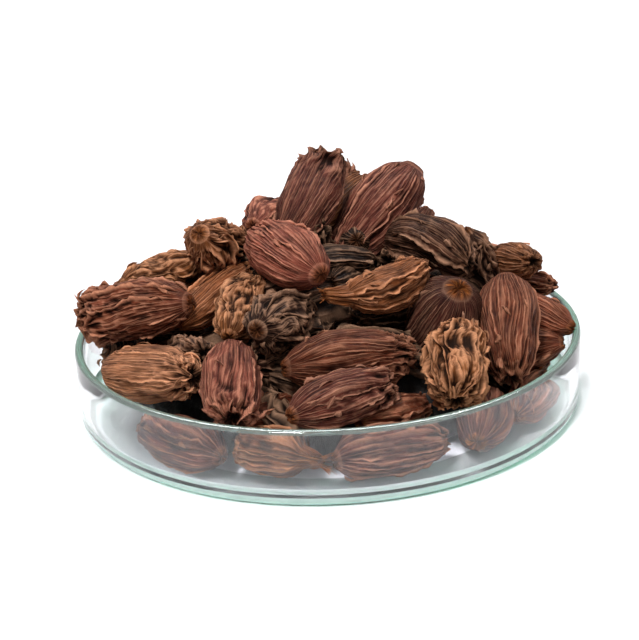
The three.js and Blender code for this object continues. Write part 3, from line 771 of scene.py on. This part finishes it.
def husk_material(name):
    """Dry ribbed husk: fine pale lines, crests paled as wear and as painted highlight, painted shade in
    hollows and grooves, orange-brown stem ends.
    """
    n = Nodes(name)
    marks = n.add("Attribute", attribute_name="marks")
    parts = n.add("SeparateColor", {0: marks.outputs["Color"]})
    paleness_and_highlight, hollow_shade, stem = parts.outputs[0], parts.outputs[1], parts.outputs[2]
    tip = marks.outputs["Alpha"]
    tones = n.add("Attribute", attribute_name="tone")
    tone, lined = tones.outputs["Color"], tones.outputs["Alpha"]
    uv = n.add("UVMap", uv_map="husk").outputs[0]
    fibres = n.noise(uv, (2.4, 0.16, 1), 3, 0.6, 0.4)
    blotches = n.noise(uv, (0.22, 0.14, 1), 3, 0.55, 0.3)
    grain = n.noise(uv, (3.0, 3.0, 1), 4, 0.65, 0.2)

    # lines that follow the ridges of the mesh, each of them stronger and weaker along its way
    place = n.add("SeparateXYZ", {0: uv})
    across = n.plus(place.outputs[0], n.times(n.noise(uv, (0.5, 0.5, 1), 2, 0.5), 0.5))
    from_line = n.math("PINGPONG", across, 0.5)
    from_thread = n.math("PINGPONG", n.times(across, 2.0), 0.5)
    its_own = n.add("CombineXYZ", {0: n.math("ROUND", across), 1: n.times(place.outputs[1], 0.12)})
    its_noise = n.noise(its_own.outputs[0], (3.7, 1, 1), 2, 0.6)
    strength = n.times(n.ramp(its_noise, 0.40, 0.62), lined)
    line = n.times(n.ramp(from_line, 0.22, 0.06), strength)
    thread = n.times(n.ramp(from_thread, 0.26, 0.08), n.ramp(fibres, 0.42, 0.60))
    thread = n.times(thread, lined)
    # painted shade: the grooves between the lines are darkened as if in shadow
    groove_shade = n.times(n.ramp(fibres, 0.62, 0.40), lined)
    groove_shade = n.times(n.ramp(from_line, 0.32, 0.48), groove_shade)

    shade = n.plus(n.times(fibres, 0.5), n.times(blotches, 0.65))
    colour = n.mix(n.ramp(shade, 0.42, 0.62), n.mix(1.0, tone, (0.40, 0.36, 0.38), "MULTIPLY"), tone)
    colour = n.mix(n.ramp(shade, 0.62, 0.82), colour, n.mix(1.0, tone, (1.8, 1.75, 1.65), "MULTIPLY"))
    # the pale of fibres and worn crests, made light enough to stand also for painted highlight
    pale_and_highlight = n.mix(0.5, n.mix(1.0, tone, (3.8, 3.9, 3.9), "MULTIPLY"), srgb(222, 172, 138))
    colour = n.mix(n.times(thread, 0.28), colour, pale_and_highlight)
    colour = n.mix(n.times(line, 0.62), colour, pale_and_highlight)
    # painted shade in the grooves between the lines
    colour = n.mix(n.times(groove_shade, 0.70), colour, srgb(16, 7, 5))
    # painted highlight and wear: the pale crests of the marks
    wear_and_highlight = n.times(paleness_and_highlight, n.plus(n.times(grain, 1.3), 0.2), clamp=True)
    colour = n.mix(n.times(wear_and_highlight, 0.85), colour, pale_and_highlight)
    frayed = n.times(tip, n.ramp(grain, 0.45, 0.65))
    colour = n.mix(n.times(frayed, 0.5), colour, srgb(150, 104, 72))
    orange = n.mix(n.ramp(fibres, 0.38, 0.62), srgb(104, 48, 20), srgb(196, 116, 56))
    colour = n.mix(n.times(stem, 0.85), colour, orange)
    # painted shade: hollows, the stem's mouth and the tip's inturned end go nearly black
    colour = n.mix(n.times(hollow_shade, 0.93), colour, srgb(12, 5, 3))
    n.put(n.shader.inputs["Base Color"], colour)
    rough = n.times(n.plus(wear_and_highlight, grain), 0.20)
    rough = n.plus(rough, n.times(hollow_shade, 0.4))
    n.put(n.shader.inputs["Roughness"], n.plus(rough, 0.40, True))
    n.shader.inputs["Specular IOR Level"].default_value = 0.05
    relief = n.plus(n.times(fibres, 0.5), n.times(line, 0.45))
    relief = n.plus(relief, n.times(thread, 0.20))
    relief = n.math("SUBTRACT", relief, n.times(groove_shade, 0.30))
    relief = n.plus(relief, n.times(grain, 0.30))
    bump = n.add("Bump", {"Strength": 1.0, "Distance": 0.8 * MM, "Height": relief})
    n.put(n.shader.inputs["Normal"], bump.outputs[0])
    return n.material


def shadow_core_material():
    """The inside of the heap, painted nearly black as shade where shadowed pods would show between the outer
    ones.
    """
    n = Nodes("heap_shadow_core")
    where = n.add("TexCoord").outputs["Object"]
    coarse = n.noise(where, (160, 160, 160), 4, 0.6)
    fine = n.noise(where, (700, 700, 400), 3, 0.6)
    # painted shade: near black with a little brown
    n.put(n.shader.inputs["Base Color"], n.mix(n.ramp(coarse, 0.35, 0.7), srgb(8, 5, 4), srgb(30, 19, 14)))
    n.put(n.shader.inputs["Roughness"], n.ramp(fine, -1.2, 0.8))
    bump = n.add("Bump", {"Strength": 1.0, "Distance": 0.8 * MM, "Height": n.plus(coarse, fine)})
    n.put(n.shader.inputs["Normal"], bump.outputs[0])
    return n.material


def glass_material(name, edge, colour):
    """Clear soda glass with a green tint through its thickness. It lets lamps through to what is behind it.

    edge is how much of a rim, foot or base is diffuse tinted colour instead of clear glass: painted light in
    place of the light that runs along inside the glass.
    """
    n = Nodes(name)
    shader = n.shader
    shader.inputs["Base Color"].default_value = (*colour, 1)
    shader.inputs["Transmission Weight"].default_value = 1.0 - edge
    shader.inputs["IOR"].default_value = 1.5
    where = n.add("TexCoord").outputs["Object"]
    film = n.noise(where, (60, 60, 90), 3, 0.5)
    smears = n.times(n.ramp(film, 0.55, 0.8), 0.035)
    n.put(shader.inputs["Roughness"], n.plus(smears, 0.2 * edge))
    ripple = n.noise(where, (25, 25, 60), 2, 0.5)
    bump = n.add("Bump", {"Strength": 0.25, "Distance": 0.4 * MM, "Height": ripple})
    n.put(shader.inputs["Normal"], bump.outputs[0])
    absorb = n.add("VolumeAbsorption")
    absorb.inputs["Color"].default_value = (0.45, 0.86, 0.76, 1)
    absorb.inputs["Density"].default_value = 8.0
    output = n.tree.nodes["Material Output"]
    n.tree.links.new(absorb.outputs[0], output.inputs["Volume"])
    clear = n.add("BsdfTransparent", {"Color": (0.92, 0.92, 0.93)})
    shadow = n.add("LightPath").outputs["Is Shadow Ray"]
    both = n.add("MixShader", {0: shadow, 1: shader.outputs[0], 2: clear.outputs[0]})
    n.tree.links.new(both.outputs[0], output.inputs["Surface"])
    return n.material


def floor_material():
    """A pale, nearly even studio floor."""
    n = Nodes("pale_floor")
    where = n.add("TexCoord").outputs["Object"]
    spots = n.noise(where, (6, 6, 6), 2, 0.5)
    n.put(n.shader.inputs["Base Color"], n.mix(spots, (0.86, 0.85, 0.88), (0.90, 0.89, 0.91)))
    n.shader.inputs["Roughness"].default_value = 0.6
    return n.material


# ---- the dish

# Each part of the glass: how much of it is diffuse colour instead of clear glass, which is painted light, and
# that colour.
GLASS = dict(
    dish_glass=(0.0, (0.94, 0.93, 0.95)),
    # The rim's grey-green, the foot's aqua glow and the base's pale grey are painted light; the base's paints
    # the white line at the inner corner.
    dish_glass_rim_painted_light=(0.22, (0.66, 0.76, 0.71)),
    dish_glass_foot_painted_glow=(0.70, (0.55, 0.73, 0.67)),
    dish_glass_base_painted_light=(0.45, (0.87, 0.88, 0.89)),
)
WALL_PART, RIM_PART, FOOT_PART, BASE_PART = range(4)
LIP_RADIUS = 1.1
# How far the glass stays inside the solids' box.
SHY = 0.02
# Rings between the corners, out along the floor and the underside, and up the wall.
FLAT_RINGS, WALL_RINGS = (30, 60), (8, 15)
# From here outwards the underside's outer ring, like the foot, is partly diffuse pale colour: painted light.
BASE_FROM = 45


def arc(centre, radius, start, end, steps):
    angles = np.linspace(start, end, steps + 1)
    return [(centre[0] + radius * math.cos(a), centre[1] + radius * math.sin(a)) for a in angles]


def dish_profile():
    """Half the dish's outline, from the middle of its underside round the lip to the middle of its floor."""
    floor, foot, corner = DISH["floor"], DISH["outer_corner"], DISH["inner_corner"]
    outside, inside = DISH["radius"] - SHY, DISH["radius"] - DISH["wall"]
    lip_z, quarter = DISH["height"] - SHY - LIP_RADIUS, math.pi / 2
    profile = [(0, 0.0)] + [(ring, 0.0) for ring in FLAT_RINGS]
    profile += arc((outside - foot, foot), foot, -quarter, 0, 10)
    profile += [(outside, z) for z in WALL_RINGS]
    profile += arc((outside - LIP_RADIUS, lip_z), LIP_RADIUS, 0, quarter, 6)
    profile += arc((inside + LIP_RADIUS, lip_z), LIP_RADIUS, quarter, 2 * quarter, 6)
    profile += [(inside, z) for z in WALL_RINGS[::-1]]
    profile += arc((inside - corner, floor + corner), corner, 0, -quarter, 10)
    return profile + [(ring, floor) for ring in FLAT_RINGS[::-1]] + [(0, floor)]


def glass_part(out, z):
    """Which of the materials in GLASS a face has, by its distance from the axis and its height."""
    inside, floor = DISH["radius"] - DISH["wall"], DISH["floor"]
    if z > DISH["height"] - SHY - LIP_RADIUS:
        return RIM_PART
    if SHY < z < DISH["outer_corner"] and out > inside - 1:
        return FOOT_PART
    inner_corner = floor + 0.05 < z < floor + DISH["inner_corner"] and out < inside + 0.05
    return BASE_PART if inner_corner or (z < SHY and out > BASE_FROM) else WALL_PART


def make_dish():
    materials = [glass_material(name, *look) for name, look in GLASS.items()]
    dish = lathe("glass_dish", dish_profile(), 192, materials[0])
    for material in materials[1:]:
        dish.data.materials.append(material)
    for face in dish.data.polygons:
        face.material_index = glass_part(math.hypot(face.center.x, face.center.y) / MM, face.center.z / MM)
    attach(dish, "root")
    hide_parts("dish")


# ---- the heap


def rough_core(points):
    """Roughens the core where it stands over the dish's floor."""
    x, y, z = points[..., 0], points[..., 1], points[..., 2]
    lift = 2.2 * noise(x / 9, y / 9, z / 9, 71) + 1.3 * creases(x / 5, y / 5, z / 5, 72)
    lift = lift * smooth(FLOOR_Z + 1, FLOOR_Z + 6, z)
    out = 1 + lift / (np.hypot(x, y) + 20)
    return np.stack([x * out, y * out, np.maximum(z + 0.6 * lift, FLOOR_Z)], -1)


def make_core():
    outline = np.array(SHOWN_CORE)
    turns = np.linspace(0, 1, len(outline))
    profile = [(0, SHOWN_CORE[-1][1])]
    for t in 1 - np.linspace(0, 1, 40)[1:-1]:
        profile.append(tuple(np.interp(t, turns, side) for side in outline.T))
    core = lathe("heap_shadow_core", profile + SHOWN_CORE[:1], 120, shadow_core_material(), rough_core)
    own_heap(core)


def own_heap(piece):
    """Makes a piece part of the heap."""
    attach(piece, "root")
    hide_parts("cardamom_heap")


def make_heap():
    make_core()
    by_rule = lay_by_rule(PLACED)
    for i, pod in enumerate(by_rule):
        in_front = (pod["stem"][1] + pod["tip"][1]) / 2 < RULE["front_edge"]
        # Rule pods in front lie under the laid ones and are painted dark as shade.
        pod["tone"] = "deep" if in_front else BACK_TONES[i % len(BACK_TONES)]
    groups = {}

    def gather(pods, prefix, detail, start):
        for i, pod in enumerate(pods):
            group = groups.setdefault(prefix + pod["kind"], Husks())
            group.add(pod, pod.get("seed", 0) * 131 + start + 7 * i, detail)

    gather(CROWN + UPPER_SLOPE, "upper_", FINE, 1000)
    gather(LOWER_SLOPE, "lower_", FINE, 2000)
    gather(HOLLOWS + BEHIND_GLASS + SIDES, "deep_", MEDIUM, 3000)
    gather(by_rule, "back_", MEDIUM, 4000)
    gather(under_layer(), "under_", COARSE, 5000)
    husk = husk_material("husk")
    for name, group in groups.items():
        own_heap(group.build(name + "_pods", husk))


# ---- floor, light and camera

# The photograph's view: degrees above the horizon and of turn about the view line, and mm from its aim.
VIEW = dict(elevation=21.1, roll=2.56, away=450.0, aim=(-2.1, 0, 23.4), lens=84.66, sensor=36.0)
# In metres: half the floor's width, and how far behind the dish the near lamps hang.
FLOOR_HALF = 6.0
LAMPS_BACK = 0.3


def make_floor():
    mesh = bpy.data.meshes.new("pale_floor")
    corners = [(x * FLOOR_HALF, y * FLOOR_HALF, 0) for x, y in ((-1, -1), (1, -1), (1, 1), (-1, 1))]
    mesh.from_pydata(corners, [], [(0, 1, 2, 3)])
    mesh.materials.append(floor_material())
    floor = placed_object("pale_floor", mesh)
    floor.location.z = -0.02 * MM


def soft_sun(name, azimuth, elevation, strength, spread):
    """A far softbox that lights all the floor alike. azimuth 0 is behind the camera, 90 is to its right."""
    light = bpy.data.lights.new(name, "SUN")
    light.energy, light.angle = strength, math.radians(spread)
    lamp = placed_object(name, light)
    a, e = math.radians(azimuth), math.radians(elevation)
    towards = Vector((math.sin(a) * math.cos(e), -math.cos(a) * math.cos(e), math.sin(e)))
    lamp.rotation_euler = towards.to_track_quat("Z", "Y").to_euler()


def softbox(name, width, depth, power, height):
    """A near rectangular lamp, over the dish and behind it, that faces it. Its sizes are in metres."""
    light = bpy.data.lights.new(name, "AREA")
    light.shape, light.size, light.size_y, light.energy = "RECTANGLE", width, depth, power
    lamp = placed_object(name, light)
    lamp.location = (0, LAMPS_BACK, height)
    lamp.rotation_euler = Vector(lamp.location).to_track_quat("Z", "Y").to_euler()
    return lamp


def make_light():
    world = bpy.data.worlds.new("studio")
    bpy.context.scene.world = world
    world.use_nodes = True
    background = world.node_tree.nodes["Background"]
    background.inputs[0].default_value = (1.0, 1.0, 1.0, 1)
    background.inputs[1].default_value = 0.28
    soft_sun("key", azimuth=-30, elevation=62, strength=3.0, spread=12)
    soft_sun("fill", azimuth=50, elevation=48, strength=0.7, spread=30)
    softbox("overhead", 0.9, 0.5, power=2.0, height=0.7)
    # This one only makes the white lines on the glass.
    glint = softbox("glint", 0.8, 0.4, power=14, height=0.69)
    glint.visible_diffuse = False
    bpy.context.scene.view_settings.view_transform = "Standard"


def make_camera():
    elevation, roll = math.radians(VIEW["elevation"]), math.radians(VIEW["roll"])
    ahead = Vector((0, math.cos(elevation), -math.sin(elevation)))
    right, up = Vector((1, 0, 0)), Vector((0, math.sin(elevation), math.cos(elevation)))
    x_axis = math.cos(roll) * right - math.sin(roll) * up
    y_axis = math.sin(roll) * right + math.cos(roll) * up
    camera = bpy.data.cameras.new("photo_view")
    camera.lens, camera.sensor_width, camera.clip_start = VIEW["lens"], VIEW["sensor"], 0.01
    obj = placed_object("photo_view", camera)
    place = (Vector(VIEW["aim"]) - ahead * VIEW["away"]) * MM
    axes = Matrix((x_axis, y_axis, -ahead)).transposed().to_4x4()
    obj.matrix_world = Matrix.Translation(place) @ axes
    bpy.context.scene.camera = obj


make_dish()
make_heap()
make_floor()
make_light()
make_camera()
